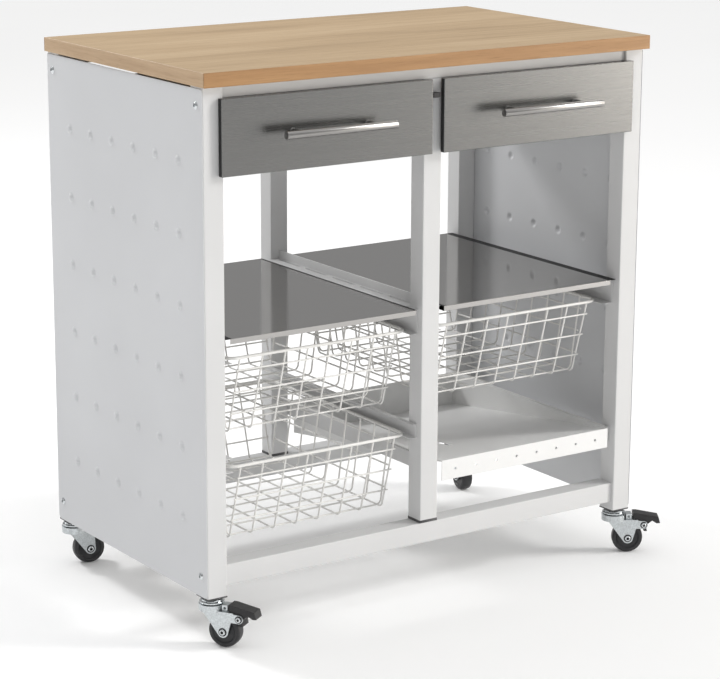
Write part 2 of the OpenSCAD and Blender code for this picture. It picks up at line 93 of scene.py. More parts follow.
sun = {"toward": (0.80, -0.50, 0.55), "spread": 14, "power": 1.4, "tint": (1.0, 1.0, 0.99)}
cards = {
    "frontCard": {"place": (3.8, -3.1, 0.95), "width": 1.5, "height": 1.8, "power": 66,
                  "tint": (1.0, 0.94, 0.86)},
    "backCard": {"place": (-1.25, 2.9, 2.7), "width": 0.7, "height": 0.7, "power": 62,
                 "tint": (1.0, 1.0, 1.0)},
    "fillCard": {"place": (-1.5, -3.3, 0.8), "width": 1.4, "height": 1.2, "power": 7,
                 "tint": (0.97, 0.98, 1.0)},
}
sky = {"horizon": 0.32, "overhead": 1.06}


def placeLights():
    data = bpy.data.lights.new("keySun", "SUN")
    data.energy, data.angle, data.color = sun["power"], math.radians(sun["spread"]), sun["tint"]
    obj = bpy.data.objects.new("keySun", data)
    scene.collection.objects.link(obj)
    obj.matrix_world = Vector(sun["toward"]).to_track_quat("Z", "Y").to_matrix().to_4x4()
    for name, card in cards.items():
        data = bpy.data.lights.new(name, "AREA")
        data.shape, data.size, data.size_y = "RECTANGLE", card["width"], card["height"]
        data.energy, data.color = card["power"], card["tint"]
        obj = bpy.data.objects.new(name, data)
        scene.collection.objects.link(obj)
        aim = Vector((0, 0, 0.5)) - Vector(card["place"])
        turn = aim.to_track_quat("-Z", "Y").to_matrix().to_4x4()
        obj.matrix_world = Matrix.Translation(card["place"]) @ turn
        obj.visible_camera = False


placeCamera()
placeLights()
scene.view_settings.view_transform = "Standard"


# ---- node trees

class Num:  # wraps a number socket, so that node maths reads as arithmetic
    def __init__(self, tree, socket):
        self.tree, self.socket = tree, socket

    def __add__(self, other):
        return self.tree.maths("ADD", self, other)

    def __radd__(self, other):
        return self.tree.maths("ADD", other, self)

    def __sub__(self, other):
        return self.tree.maths("SUBTRACT", self, other)

    def __rsub__(self, other):
        return self.tree.maths("SUBTRACT", other, self)

    def __mul__(self, other):
        return self.tree.maths("MULTIPLY", self, other)

    def __rmul__(self, other):
        return self.tree.maths("MULTIPLY", other, self)

    def __truediv__(self, other):
        return self.tree.maths("DIVIDE", self, other)

    def __neg__(self):
        return self.tree.maths("MULTIPLY", self, -1)


class Tree:  # shared by material and geometry trees
    def feed(self, socket, value):
        if isinstance(value, (list, tuple)) and value and isinstance(value[0], (Num, bpy.types.NodeSocket)):
            for one in value:
                self.feed(socket, one)
            return
        value = value.socket if isinstance(value, Num) else value
        if isinstance(value, bpy.types.NodeSocket):
            self.tree.links.new(value, socket)
        else:
            socket.default_value = value

    def node(self, kind, sockets=None, stops=None, **settings):
        made = self.tree.nodes.new(kind)
        for name, value in settings.items():
            setattr(made, name, value)
        if stops:
            ramp = made.color_ramp
            while len(ramp.elements) < len(stops):
                ramp.elements.new(0.5)
            for element, (at, colour) in zip(ramp.elements, stops):
                element.position, element.color = at, (*colour, 1)
        for name, value in (sockets or {}).items():
            self.feed(made.inputs[name], value)
        return made

    def maths(self, kind, a, b=0.0):
        return Num(self, self.node("ShaderNodeMath", {0: a, 1: b}, operation=kind).outputs[0])


class Sky(Tree):  # grey at the horizon, bright overhead
    def __init__(self):
        world = bpy.data.worlds.new("studio")
        scene.world = world
        world.use_nodes = True
        self.tree = world.node_tree
        way = self.node("ShaderNodeSeparateXYZ", {0: self.node("ShaderNodeTexCoord").outputs["Generated"]})
        rise = Num(self, way.outputs["Z"])
        glow = rise * rise * (sky["overhead"] - sky["horizon"]) + sky["horizon"]
        self.feed(world.node_tree.nodes["Background"].inputs["Strength"], glow)
        self.feed(world.node_tree.nodes["Background"].inputs["Color"], (1, 1, 1, 1))


Sky()
print("camera and lights placed")


def tone(r, g, b):  # a screen colour as linear light
    return tuple((c / 255 / 12.92) if c < 10.3 else ((c / 255 + 0.055) / 1.055) ** 2.4 for c in (r, g, b))


class Look(Tree):  # one procedural material
    def __init__(self, name, **fixed):
        self.mat = bpy.data.materials.new(name)
        self.mat.use_nodes = True
        self.tree = self.mat.node_tree
        self.tree.nodes.clear()
        self.bsdf = self.node("ShaderNodeBsdfPrincipled")
        self.tree.links.new(self.bsdf.outputs[0], self.node("ShaderNodeOutputMaterial").inputs[0])
        for label, value in fixed.items():
            self.bsdf.inputs[label.replace("_", " ")].default_value = value
        self.coords = self.node("ShaderNodeTexCoord").outputs["Object"]

    def stretched(self, x, y, z):
        return self.node("ShaderNodeMapping", {"Vector": self.coords, "Scale": (x, y, z)}).outputs[0]

    def noise(self, where, scale=1.0, detail=2.0, roughness=0.5, warp=0.0):
        sockets = {"Vector": where, "Scale": scale, "Detail": detail, "Roughness": roughness,
                   "Distortion": warp}
        return Num(self, self.node("ShaderNodeTexNoise", sockets).outputs["Fac"])

    def ramp(self, amount, stops):
        return self.node("ShaderNodeValToRGB", {0: amount}, stops=stops).outputs[0]

    def span(self, amount, low, high, fromLow=0.3, fromHigh=0.7):
        sockets = {0: amount, 1: fromLow, 2: fromHigh, 3: low, 4: high}
        return Num(self, self.node("ShaderNodeMapRange", sockets).outputs[0])

    def blend(self, amount, a, b, how="MIX"):
        sockets = {0: amount}
        sockets[6] = (*a, 1) if isinstance(a, tuple) else a
        sockets[7] = (*b, 1) if isinstance(b, tuple) else b
        return self.node("ShaderNodeMix", sockets, data_type="RGBA", blend_type=how).outputs[2]

    def bump(self, height, strength, depth):
        sockets = {"Height": height, "Strength": strength, "Distance": depth}
        self.feed(self.bsdf.inputs["Normal"], self.node("ShaderNodeBump", sockets).outputs[0])

    def set(self, label, value):
        self.feed(self.bsdf.inputs[label], value)


def powderCoat(name, colour, gloss=0.42):
    look = Look(name, Coat_Roughness=0.3)
    peel = look.noise(look.coords, 850, 2, 0.6)
    cloud = look.noise(look.coords, 5, 2)
    low = tuple(c * 0.955 for c in colour)
    look.set("Base Color", look.blend(look.span(cloud, 0, 1), low, colour))
    look.set("Roughness", look.span(peel, gloss - 0.05, gloss + 0.07))
    look.bump(peel, 0.10, 0.00025)
    return look.mat


def brushed(name, colour, along="x", gloss=0.3, streak=0.35, depth=0.12):
    look = Look(name, Metallic=1.0)
    stretch = {"x": (2.2, 900, 900), "y": (900, 2.2, 900), "z": (900, 900, 2.2)}[along]
    longer = {"x": (0.9, 210, 210), "y": (210, 0.9, 210), "z": (210, 210, 0.9)}[along]
    fine = look.noise(look.stretched(*stretch), 1, 3, 0.7)
    wide = look.noise(look.stretched(*longer), 1, 3, 0.6)
    mixed = fine * 0.6 + wide * 0.4
    low = tuple(c * (1 - streak) for c in colour)
    look.set("Base Color", look.blend(look.span(mixed, 0, 1, 0.25, 0.75), low, colour))
    look.set("Roughness", look.span(mixed, gloss + 0.08, gloss - 0.05, 0.25, 0.75))
    look.bump(mixed, depth, 0.0001)
    return look.mat


def zincPlate(name, colour, gloss=0.34):
    look = Look(name, Metallic=1.0)
    cells = look.node("ShaderNodeTexVoronoi", {"Vector": look.coords, "Scale": 420.0, "Randomness": 1.0})
    spot = look.noise(look.coords, 180, 4, 0.65)
    mottle = Num(look, cells.outputs["Distance"]) * 0.5 + spot * 0.7
    low = tuple(c * 0.72 for c in colour)
    look.set("Base Color", look.blend(look.span(mottle, 0, 1, 0.35, 0.85), low, colour))
    look.set("Roughness", look.span(spot, gloss - 0.06, gloss + 0.1))
    look.bump(spot, 0.08, 0.0002)
    return look.mat


def blackMoulded(name, colour, gloss=0.5, grain=1400, scuff=0.5):
    look = Look(name, Specular_IOR_Level=0.45)
    fine = look.noise(look.coords, grain, 2, 0.5)
    worn = look.noise(look.coords, 60, 4, 0.7)
    high = tuple(c + 0.03 * scuff for c in colour)
    look.set("Base Color", look.blend(look.span(worn, 0, 1, 0.45, 0.8), colour, high))
    look.set("Roughness", look.span(fine, gloss - 0.08, gloss + 0.1))
    look.bump(fine, 0.2, 0.0002)
    return look.mat


def oakBoard(name, stops, along="x", gloss=0.42, poreDepth=0.4):
    look = Look(name)
    turn = (lambda a, b: (a, b, b)) if along == "x" else (lambda a, b: (b, a, b))
    bands = look.noise(look.stretched(*turn(0.9, 9.0)), 1, 3, 0.55, 0.4)
    fibre = look.noise(look.stretched(*turn(4.0, 95.0)), 1, 6, 0.65, 0.3)
    pores = look.noise(look.stretched(*turn(30.0, 700.0)), 1, 3, 0.7)
    mixed = bands * 0.5 + fibre * 0.5
    grain = look.ramp(look.span(mixed, 0, 1, 0.32, 0.68), stops)
    dark = tuple(c * 0.62 for c in stops[0][1])
    pore = look.span(pores, poreDepth, 0, 0.28, 0.44)
    look.set("Base Color", look.blend(pore, grain, dark))
    look.set("Roughness", look.span(pores, gloss + 0.12, gloss))
    look.bump(pores * 0.6 + fibre * 0.4, 0.12, 0.0003)
    return look.mat


oakStops = {  # dark, middle and pale grain of each face
    "top": [(0.0, tone(162, 136, 102)), (0.45, tone(185, 158, 122)), (1.0, tone(202, 177, 142))],
    "front": [(0.0, tone(136, 97, 57)), (0.5, tone(161, 120, 76)), (1.0, tone(182, 141, 94))],
    "side": [(0.0, tone(170, 139, 105)), (0.5, tone(193, 164, 130)), (1.0, tone(206, 180, 147))],
}
looks = {
    "oakTop": oakBoard("oakTop", oakStops["top"]),
    "oakFront": oakBoard("oakFront", oakStops["front"]),
    "oakSide": oakBoard("oakSide", oakStops["side"], along="y"),
    "frameWhite": powderCoat("frameWhite", tone(210, 210, 210)),
    "panelWhite": powderCoat("panelWhite", tone(209, 210, 212), 0.46),
    "trayWhite": powderCoat("trayWhite", tone(234, 234, 233), 0.38),
    "wireWhite": powderCoat("wireWhite", tone(232, 231, 228), 0.3),
    "frontSteel": brushed("frontSteel", tone(116, 116, 115), "x", 0.25, 0.02, 0.015),
    "shelfSteel": brushed("shelfSteel", tone(180, 178, 176), "x", 0.09, 0.06, 0.02),
    "handleSteel": brushed("handleSteel", tone(160, 158, 156), "x", 0.27, 0.12, 0.05),
    "zinc": zincPlate("zinc", tone(212, 217, 219)),
    "brightZinc": zincPlate("brightZinc", tone(222, 226, 228), 0.22),
    "slideZinc": zincPlate("slideZinc", tone(200, 204, 206), 0.36),
    "plugGrey": blackMoulded("plugGrey", tone(78, 78, 79), 0.55),
    "tyreBlack": blackMoulded("tyreBlack", tone(40, 40, 42), 0.42, 900),
    "pedalBlack": blackMoulded("pedalBlack", tone(34, 33, 34), 0.46),
    # black look: partly dark edging and partly painted shade on the drawer fronts' end faces, the painted
    # shadow strips at the shelves' ends, and the painted shade in the bolt heads
    "blackTrimAndPaintedShade": blackMoulded("blackTrimAndPaintedShade", tone(24, 24, 25), 0.6, 1100, 0.2),
}
print("materials made:", len(looks))


# ---- mesh helpers

def put(name, mesh, body, materials, stands=()):
    obj = bpy.data.objects.new(name, mesh)
    scene.collection.objects.link(obj)
    for material in materials:
        mesh.materials.append(looks[material])
    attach(obj, body)
    if stands:
        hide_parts(*stands)
    return obj


def baked(obj):  # the evaluated shape as a plain mesh
    bpy.context.view_layer.update()
    mesh = bpy.data.meshes.new_from_object(obj.evaluated_get(bpy.context.evaluated_depsgraph_get()))
    obj.modifiers.clear()
    bpy.data.objects.remove(obj)
    return mesh


def levelled(obj):  # keeps the large faces flat in the light
    mod = obj.modifiers.new("level", "WEIGHTED_NORMAL")
    mod.mode, mod.weight, mod.keep_sharp = "FACE_AREA", 100, True


def eased(bm, width, steps=2, shortest=0.003, sharpest=35, materials=()):
    # rounds the long sharp edges, leaves holes and curved facets as they are
    bm.normal_update()
    layer = bm.edges.layers.float.new("bevel_weight_edge")
    for edge in bm.edges:
        folded = len(edge.link_faces) == 2 and edge.calc_face_angle(0) > math.radians(sharpest)
        edge[layer] = 1.0 if folded and edge.calc_length() > shortest else 0.0
        edge.smooth = not (folded and edge.calc_length() <= shortest)
    for face in bm.faces:
        face.smooth = True
    mesh = bpy.data.meshes.new("eased")
    for material in materials:
        mesh.materials.append(looks[material])
    bm.to_mesh(mesh)
    bm.free()
    obj = bpy.data.objects.new("eased", mesh)
    scene.collection.objects.link(obj)
    mod = obj.modifiers.new("ease", "BEVEL")
    mod.limit_method, mod.width, mod.segments, mod.harden_normals = "WEIGHT", width, steps, True
    mod.use_clamp_overlap = True
    levelled(obj)
    return baked(obj)


def cadCopy(node):
    bm = bmesh.new()
    bm.from_mesh(nodes[node].data)
    bmesh.ops.remove_doubles(bm, verts=bm.verts, dist=2e-6)
    bmesh.ops.dissolve_limit(bm, angle_limit=0.02, verts=bm.verts, edges=bm.edges)
    return bm


def soften(node, name, look, width=0.0006, steps=2, shortest=0.003, ends=None):
    bm = cadCopy(node)
    if ends:  # the faces at the left and right ends get the second look; on the drawer fronts it is black, partly dark edging and partly painted shade on these narrow faces
        bm.normal_update()
        low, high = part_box(node)
        for face in bm.faces:
            x = face.calc_center_median().x
            face.material_index = int(abs(face.normal.x) > 0.9 and min(x - low.x, high.x - x) < 0.0002)
    mesh = eased(bm, width, steps, shortest, materials=[look, ends] if ends else [look])
    return put(name, mesh, homeBody[node], [], [node])


def block(bm, low, high, slot=0):
    low, high = Vector(low), Vector(high)
    made = bmesh.ops.create_cube(bm, size=1.0)["verts"]
    for vert in made:
        vert.co = Vector(((low[i] + high[i]) / 2 + vert.co[i] * (high[i] - low[i])) for i in range(3))
    for face in {f for v in made for f in v.link_faces}:
        face.material_index = slot


def lathe(bm, profile, place, axis, around=32, slot=0, closed=False):
    # profile holds (radius, along) pairs, turned about the axis at place
    toAxis = Vector((0, 0, 1)).rotation_difference(Vector(axis)).to_matrix()
    rings = []
    for radius, along in profile:
        if radius < 1e-7:
            rings.append([bm.verts.new(toAxis @ Vector((0, 0, along)) + Vector(place))])
            continue
        ring = []
        for k in range(around):
            a = 2 * math.pi * k / around
            spot = Vector((radius * math.cos(a), radius * math.sin(a), along))
            ring.append(bm.verts.new(toAxis @ spot + Vector(place)))
        rings.append(ring)
    pairs = list(zip(rings, rings[1:])) + ([(rings[-1], rings[0])] if closed else [])
    for lower, upper in pairs:
        for k in range(around):
            corners = [lower[k % len(lower)], lower[(k + 1) % len(lower)],
                       upper[(k + 1) % len(upper)], upper[k % len(upper)]]
            corners = [v for i, v in enumerate(corners) if v not in corners[:i]]
            if len(corners) > 2:
                face = bm.faces.new(corners)
                face.material_index = slot
                face.smooth = True


def turned(bm, name="turned", sharpest=38, materials=()):
    bmesh.ops.remove_doubles(bm, verts=bm.verts, dist=1e-6)
    bmesh.ops.recalc_face_normals(bm, faces=bm.faces)
    for face in bm.faces:
        face.smooth = True
    for edge in bm.edges:
        edge.smooth = not (len(edge.link_faces) == 2 and edge.calc_face_angle(0) > math.radians(sharpest))
    mesh = bpy.data.meshes.new(name)
    for material in materials:
        mesh.materials.append(looks[material])
    bm.to_mesh(mesh)
    bm.free()
    return mesh


class Grower(Tree):  # a geometry tree with named inputs
    def __init__(self, name, inputs):
        self.tree = bpy.data.node_groups.new(name, "GeometryNodeTree")
        sockets = self.tree.interface
        sockets.new_socket("Geometry", in_out="INPUT", socket_type="NodeSocketGeometry")
        self.ids = {}
        for label, kind in inputs.items():
            made = sockets.new_socket(label, in_out="INPUT", socket_type="NodeSocket" + kind)
            self.ids[label] = made.identifier
        sockets.new_socket("Geometry", in_out="OUTPUT", socket_type="NodeSocketGeometry")
        self.start = self.node("NodeGroupInput")
        self.end = self.node("NodeGroupOutput")

    def get(self, label):
        return Num(self, self.start.outputs[label])

    def point(self, x, y, z):
        return self.node("ShaderNodeCombineXYZ", {0: x, 1: y, 2: z}).outputs[0]

    def row(self, count, first, step):
        sockets = {"Count": count, "Start Location": first, "Offset": step}
        return self.node("GeometryNodeMeshLine", sockets, mode="OFFSET").outputs[0]

    def repeat(self, points, shape):
        return self.node("GeometryNodeInstanceOnPoints", {"Points": points, "Instance": shape}).outputs[0]

    def join(self, shapes):
        return self.node("GeometryNodeJoinGeometry", {0: shapes}).outputs[0]

    def finish(self, shape):
        real = self.node("GeometryNodeRealizeInstances", {0: shape}).outputs[0]
        smooth = self.node("GeometryNodeSetShadeSmooth", {0: real}).outputs[0]
        painted = self.node("GeometryNodeSetMaterial", {"Geometry": smooth, "Material": self.get("Material")})
        self.feed(self.end.inputs[0], painted.outputs[0])


def grow(grower, values, source=None):
    obj = bpy.data.objects.new("grown", source or bpy.data.meshes.new("grown"))
    mod = obj.modifiers.new("grow", "NODES")
    mod.node_group = grower.tree
    for label, value in values.items():
        mod[grower.ids[label]] = value
    scene.collection.objects.link(obj)
    return baked(obj)


# ---- worktop

worktop = {"band": 0.0012, "edge": 0.0005, "cornerGap": 0.00015}


def makeWorktop():
    low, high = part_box("worktop")
    t, gap = worktop["band"], worktop["cornerGap"]
    bm = bmesh.new()
    block(bm, (low.x + t, low.y + t, low.z), (high.x - t, high.y - t, high.z), 0)
    for y0, y1 in ((low.y, low.y + t), (high.y - t, high.y)):
        block(bm, (low.x, y0, low.z), (high.x, y1, high.z), 1)
    for x0, x1 in ((low.x, low.x + t), (high.x - t, high.x)):
        block(bm, (x0, low.y + t + gap, low.z), (x1, high.y - t - gap, high.z), 2)
    mesh = eased(bm, worktop["edge"], 2, 0.0002, materials=["oakTop", "oakFront", "oakSide"])
    put("worktopBoard", mesh, "frame", [], ["worktop"])


makeWorktop()
print("worktop made")


# ---- frame tubes, rails and sheet supports

tubes = {"corner": 0.0016, "edge": 0.0004}


def makeFrame():
    for node in ("front_left_post", "front_right_post", "rear_left_post", "rear_right_post",
                 "front_center_post", "rear_center_post"):
        soften(node, node + "_tube", "frameWhite", tubes["corner"], 3, 0.2)
    for node in ("top_front_rail", "top_rear_rail", "bottom_front_rail", "bottom_rear_rail"):
        soften(node, node + "_tube", "frameWhite", tubes["corner"] * 0.8, 3, 0.2)
    for node in ("shelf_divider", "upper_left_side_runner", "upper_left_center_runner",
                 "upper_right_center_runner", "upper_right_side_runner", "lower_left_side_runner",
                 "lower_left_center_runner", "tray_brackets"):
        soften(node, node + "_sheet", "frameWhite", tubes["edge"], 2, 0.006)
    soften("center_post_caps", "centerPostCaps", "plugGrey", 0.0006, 2, 0.02)
    soften("post_end_plugs", "postEndPlugs", "plugGrey", 0.0005, 2, 0.02)
    soften("drawer_spacer", "drawerSpacer", "pedalBlack", 0.0006)


makeFrame()
print("frame made")


# ---- side panels with pressed dimples

panel = {"columns": 6, "rows": 6, "pitchY": 0.065, "pitchZ": 0.105, "firstRow": 0.1855,
         "radius": 0.0082, "height": 0.0029, "flat": 0.3, "cornerRadius": 0.008, "sheet": 0.0012,
         "edge": 0.0003, "screwInset": 0.0165, "screwTop": 0.794, "screwLow": 0.107}


def faceOut(bm, side):
    bmesh.ops.remove_doubles(bm, verts=bm.verts, dist=1e-6)
    bm.normal_update()
    for face in bm.faces:
        face.smooth = True
        if face.normal.x * side < 0:
            face.normal_flip()
    mesh = bpy.data.meshes.new("sheet")
    bm.to_mesh(mesh)
    bm.free()
    return mesh


def dimpleTile(side, around=24, rings=7):  # one pitch of sheet with a soft round pressing in its middle
    halfY, halfZ, r = panel["pitchY"] / 2, panel["pitchZ"] / 2, panel["radius"]
    bm = bmesh.new()
    circles = []
    for k in range(1, rings + 2):
        share = min(1, max(0, k / rings - panel["flat"]) / (1 - panel["flat"]))
        rise = panel["height"] * (math.cos(math.pi * share) + 1) / 2
        turns = [2 * math.pi * (i + 0.5) / around for i in range(around)]
        circles.append([bm.verts.new((side * rise, r * k / rings * math.cos(a), r * k / rings * math.sin(a)))
                        for a in turns])
    top = bm.verts.new((side * panel["height"], 0, 0))
    for i in range(around):
        j = (i + 1) % around
        bm.faces.new((top, circles[0][i], circles[0][j]))
        for inner, outer in zip(circles, circles[1:]):
            bm.faces.new((inner[i], outer[i], outer[j], inner[j]))
    corners = [bm.verts.new((0, y, z))
               for y, z in ((halfY, -halfZ), (halfY, halfZ), (-halfY, halfZ), (-halfY, -halfZ))]
    quarter = around // 4
    for q in range(4):
        first = q * quarter - quarter // 2
        arc = [circles[-1][(first + i) % around] for i in range(quarter + 1)]
        bm.faces.new([corners[q], corners[(q + 1) % 4]] + arc[::-1])
    return faceOut(bm, side)


def panelMargin(low, high, x, side, first):  # the plain sheet round the pressed field
    rows, columns, r = panel["rows"], panel["columns"], panel["cornerRadius"]
    ys = [first[0] + panel["pitchY"] * k for k in range(columns + 1)]
    zs = [first[1] + panel["pitchZ"] * k for k in range(rows + 1)]
    loops = []
    for k in range(rows):
        loops.append([(low.y, zs[k]), (ys[0], zs[k]), (ys[0], zs[k + 1]), (low.y, zs[k + 1])])
        loops.append([(ys[-1], zs[k]), (high.y, zs[k]), (high.y, zs[k + 1]), (ys[-1], zs[k + 1])])
    for k in range(columns):
        loops.append([(ys[k], low.z), (ys[k + 1], low.z), (ys[k + 1], zs[0]), (ys[k], zs[0])])
        loops.append([(ys[k], zs[-1]), (ys[k + 1], zs[-1]), (ys[k + 1], high.z), (ys[k], high.z)])
    loops.append([(low.y, zs[-1]), (ys[0], zs[-1]), (ys[0], high.z), (low.y, high.z)])
    loops.append([(ys[-1], zs[-1]), (high.y, zs[-1]), (high.y, high.z), (ys[-1], high.z)])
    for edge, inner, way in ((low.y, ys[0], 1), (high.y, ys[-1], -1)):
        arc = [(edge + way * r * (1 - math.cos(a)), low.z + r * (1 - math.sin(a)))
               for a in (math.pi / 2 * i / 8 for i in range(9))]
        loops.append([(edge, zs[0])] + arc + [(inner, low.z), (inner, zs[0])])
    bm = bmesh.new()
    for loop in loops:
        bm.faces.new([bm.verts.new((x, y, z)) for y, z in loop])
    return faceOut(bm, side)


def screwHead(side, radius=0.0057, height=0.0028, socket=0.0020):
    bm = bmesh.new()
    ball = (radius ** 2 + height ** 2) / (2 * height)
    profile = [(radius, 0), (radius, height * 0.12)]
    for k in range(1, 6):
        r = radius * (1 - k / 5) + socket * (k / 5)
        profile.append((r, height - (ball - math.sqrt(ball ** 2 - r ** 2))))
    top = profile[-1][1]
    profile += [(socket * 0.96, top - 0.0021), (0, top - 0.0023)]
    lathe(bm, profile, (0, 0, 0), (side, 0, 0), 24)
    return turned(bm, "screwHead")


def gridTree(name, welded):  # one shape repeated over a panel in columns and rows
    grower = Grower(name, {"Shape": "Object", "Material": "Material", "Columns": "Int", "Rows": "Int",
                           "Pitch Y": "Float", "Pitch Z": "Float", "Centre": "Vector"})
    info = grower.node("GeometryNodeObjectInfo", {"Object": grower.get("Shape")}, transform_space="ORIGINAL")
    columns, rows = grower.get("Columns"), grower.get("Rows")
    sizes = {"Size X": grower.get("Pitch Y") * (columns - 1), "Vertices X": columns,
             "Size Y": grower.get("Pitch Z") * (rows - 1), "Vertices Y": rows}
    grid = grower.node("GeometryNodeMeshGrid", sizes).outputs[0]
    stand = {"Geometry": grid, "Rotation": (math.pi / 2, 0, math.pi / 2), "Translation": grower.get("Centre")}
    upright = grower.node("GeometryNodeTransform", stand).outputs[0]
    placed = grower.repeat(upright, info.outputs["Geometry"])
    if welded:
        whole = grower.join([grower.start.outputs[0], placed])
        placed = grower.node("GeometryNodeRealizeInstances", {0: whole}).outputs[0]
        weld = {"Geometry": placed, "Distance": 0.00002}
        placed = grower.node("GeometryNodeMergeByDistance", weld).outputs[0]
    grower.finish(placed)
    return grower


def repeatedOn(tree, shapeMesh, look, columns, rows, pitchY, pitchZ, centre, source=None, thickness=0):
    shape = bpy.data.objects.new("pattern", shapeMesh)
    scene.collection.objects.link(shape)
    mesh = grow(tree, {"Shape": shape, "Material": looks[look], "Columns": columns, "Rows": rows,
                       "Pitch Y": pitchY, "Pitch Z": pitchZ, "Centre": centre}, source)
    bpy.data.objects.remove(shape)
    if not thickness:
        return mesh
    sheet = bpy.data.objects.new("sheet", mesh)
    scene.collection.objects.link(sheet)
    wall = sheet.modifiers.new("wall", "SOLIDIFY")
    wall.thickness, wall.offset, wall.use_even_offset = thickness, -1, True
    ease = sheet.modifiers.new("ease", "BEVEL")
    ease.limit_method, ease.angle_limit = "ANGLE", math.radians(60)
    ease.width, ease.segments = panel["edge"], 2
    ease.harden_normals = True
    levelled(sheet)
    return baked(sheet)


def makePanels():
    pressed, dotted = gridTree("pressedRows", True), gridTree("screwCorners", False)
    for node, side in (("left_side_panel", -1), ("right_side_panel", 1)):
        low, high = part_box(node)
        inner = low.x if side > 0 else high.x
        outer = inner + side * panel["sheet"]
        middle = (low.y + high.y) / 2, panel["firstRow"] + panel["pitchZ"] * (panel["rows"] - 1) / 2
        first = (middle[0] - panel["pitchY"] * panel["columns"] / 2,
                 middle[1] - panel["pitchZ"] * panel["rows"] / 2)
        margin = panelMargin(low, high, outer, side, first)
        mesh = repeatedOn(pressed, dimpleTile(side), "panelWhite", panel["columns"], panel["rows"],
                          panel["pitchY"], panel["pitchZ"], (outer, *middle), margin, panel["sheet"])
        put(node + "_sheet", mesh, "frame", [], [node])
        deepY, tallZ = (high.y - low.y) - 2 * panel["screwInset"], panel["screwTop"] - panel["screwLow"]
        heads = repeatedOn(dotted, screwHead(side), "brightZinc", 2, 2, deepY, tallZ,
                           (outer, middle[0], (panel["screwTop"] + panel["screwLow"]) / 2))
        screws = put(node + "_screws", heads, "frame", [])
        if side > 0:
            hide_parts("panel_screws")


makePanels()
print("panels made")


# ---- drawers

drawer = {"frontEdge": 0.0011, "barEnd": 0.0008, "rim": 0.0022, "sheet": 0.0012,
          "footAt": 0.064, "footRadius": 0.004, "flareRadius": 0.0046}


def makeHandle(side):
    node = side + "_drawer_handle"
    low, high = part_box(node)
    r = (high.z - low.z) / 2
    z = (low.z + high.z) / 2
    y = low.y + r
    c = drawer["barEnd"]
    bm = bmesh.new()
    length = high.x - low.x
    bar = [(0, 0), (r - c, 0), (r - c * 0.3, c * 0.3), (r, c), (r, length - c),
           (r - c * 0.3, length - c * 0.3), (r - c, length), (0, length)]
    lathe(bm, bar, (low.x, y, z), (1, 0, 0), 40)
    middle = (low.x + high.x) / 2
    reach = high.y - y
    foot, flare = drawer["footRadius"], drawer["flareRadius"]
    leg = [(foot, 0.003), (foot, reach - 0.0022), (flare, reach - 0.0016), (flare, reach), (0, reach)]
    for offset in (-drawer["footAt"], drawer["footAt"]):
        lathe(bm, leg, (middle + offset, y, z), (0, 1, 0), 28)
    put(side + "BarHandle", turned(bm, "handle"), side + "_drawer", ["handleSteel"], [node])


def makeBox(side):
    node = side + "_drawer_box"
    low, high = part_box(node)
    bm = bmesh.new()
    t = drawer["sheet"]
    block(bm, low, (high.x, high.y, low.z + t))
    for x0, x1 in ((low.x, low.x + t), (high.x - t, high.x)):
        block(bm, (x0, low.y, low.z), (x1, high.y, high.z))
    for y0, y1 in ((low.y, low.y + t), (high.y - t, high.y)):
        block(bm, (low.x, y0, low.z), (high.x, y1, high.z))
    w = drawer["rim"]
    for x0, x1 in ((low.x, low.x + w), (high.x - w, high.x)):
        block(bm, (x0, low.y, high.z - w), (x1, high.y, high.z))
    block(bm, (low.x, high.y - w, high.z - w), (high.x, high.y, high.z))
    mesh = eased(bm, 0.0003, 2, 0.0005)
    put(side + "DrawerBox", mesh, side + "_drawer", ["trayWhite"], [node])


def makeDrawers():
    for side in ("left", "right"):
        # the drawer fronts' end faces are black: partly dark edging, partly painted shade
        soften(side + "_drawer_front", side + "DrawerFront", "frontSteel", drawer["frontEdge"], 3, 0.006,
               "blackTrimAndPaintedShade")
        makeHandle(side)
        makeBox(side)
        soften(side + "_drawer_slides", side + "DrawerSlides", "slideZinc", 0.0003, 1, 0.006)
        soften(side + "_drawer_tracks", side + "DrawerTracks", "slideZinc", 0.0003, 1, 0.006)
        soften(side + "_handle_screws", side + "HandleScrews", "brightZinc", 0.0003, 1, 0.003)
    soften("worktop_screws", "worktopScrews", "brightZinc", 0.0003, 1, 0.003)


makeDrawers()
print("drawers made")


# ---- shelves and bottle tray

# sizes of the black strips painted as the shadow gaps beside the shelves' ends
shelfShadowStrip = {"cover": 0.0025, "reach": 0.0112, "gap": 0.0016, "proud": 0.00015, "depth": 0.0009,
               "inset": 0.0015}


def makeShelf(side):  # steel sheet with a black strip along both ends, painted as the shadow gaps there
    node = side + "_shelf"
    low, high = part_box(node)
    soften(node, side + "ShelfSheet", "shelfSteel", 0.0007, 3, 0.006)
    outward = -1 if side == "left" else 1
    outer, inner = (low.x, high.x) if side == "left" else (high.x, low.x)
    y0, y1 = low.y + shelfShadowStrip["inset"], high.y - shelfShadowStrip["inset"]
    top = high.z + shelfShadowStrip["proud"]
    # painted shadow: the outer strip stands for the dark gap towards the side panel, the inner one for the
    # dark gap at the centre divider
    bm = bmesh.new()
    for edge, way, reach in ((outer, outward, shelfShadowStrip["reach"]), (inner, -outward, shelfShadowStrip["gap"])):
        near, far = edge - way * shelfShadowStrip["cover"], edge + way * reach
        block(bm, (min(edge, far), y0, high.z - shelfShadowStrip["depth"]), (max(edge, far), y1, top))
        block(bm, (min(near, edge), y0, high.z + 0.00001), (max(near, edge), y1, top))
    bmesh.ops.recalc_face_normals(bm, faces=bm.faces)
    mesh = bpy.data.meshes.new("edging")
    bm.to_mesh(mesh)
    bm.free()
    put(side + "ShelfEdging", mesh, "frame", ["blackTrimAndPaintedShade"])


